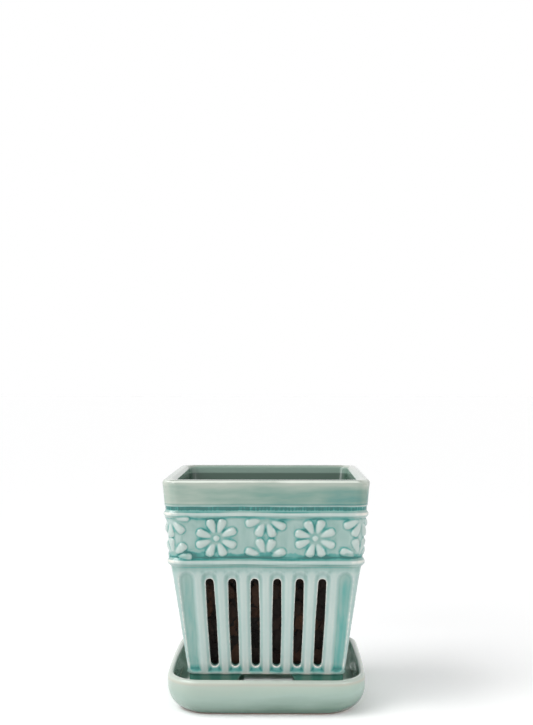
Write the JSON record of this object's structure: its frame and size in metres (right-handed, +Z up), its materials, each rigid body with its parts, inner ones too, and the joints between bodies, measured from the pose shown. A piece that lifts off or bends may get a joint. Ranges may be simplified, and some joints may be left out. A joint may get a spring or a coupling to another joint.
{
  "type": "orchid pot with slots",
  "caption": "Square tapered glazed pot with slotted fluted walls and a daisy frieze, standing in a drip saucer and filled with bark",
  "frame": {"origin": "centre of the saucer's base, on the surface that the object stands on", "axes": "+Z up through the rim; -Y and the other three horizontal directions each face one of the pot's four like sides"},
  "size_m": [0.1448, 0.1448, 0.164],
  "materials": {
    "saucer_glaze": "glossy sage-green celadon glaze over a light body, unglazed brown base",
    "pot_glaze": "glossy blue-green celadon glaze, pale on edges and teal where it pools",
    "bark": "dull, coarse dark brown bark chips"
  },
  "bodies": {
    "saucer": {"saucer": "saucer_glaze"},
    "pot": {"pot": "pot_glaze"},
    "bark": {"bark_mix": "bark"}
  },
  "joints": [
    {"name": "pot_lift", "type": "slide", "parent": "saucer", "child": "pot", "axis": [0, 0, 1], "range_m": [0, 0.18]},
    {"name": "bark_lift", "type": "slide", "parent": "pot", "child": "bark", "axis": [0, 0, 1], "range_m": [0, 0.15]}
  ]
}
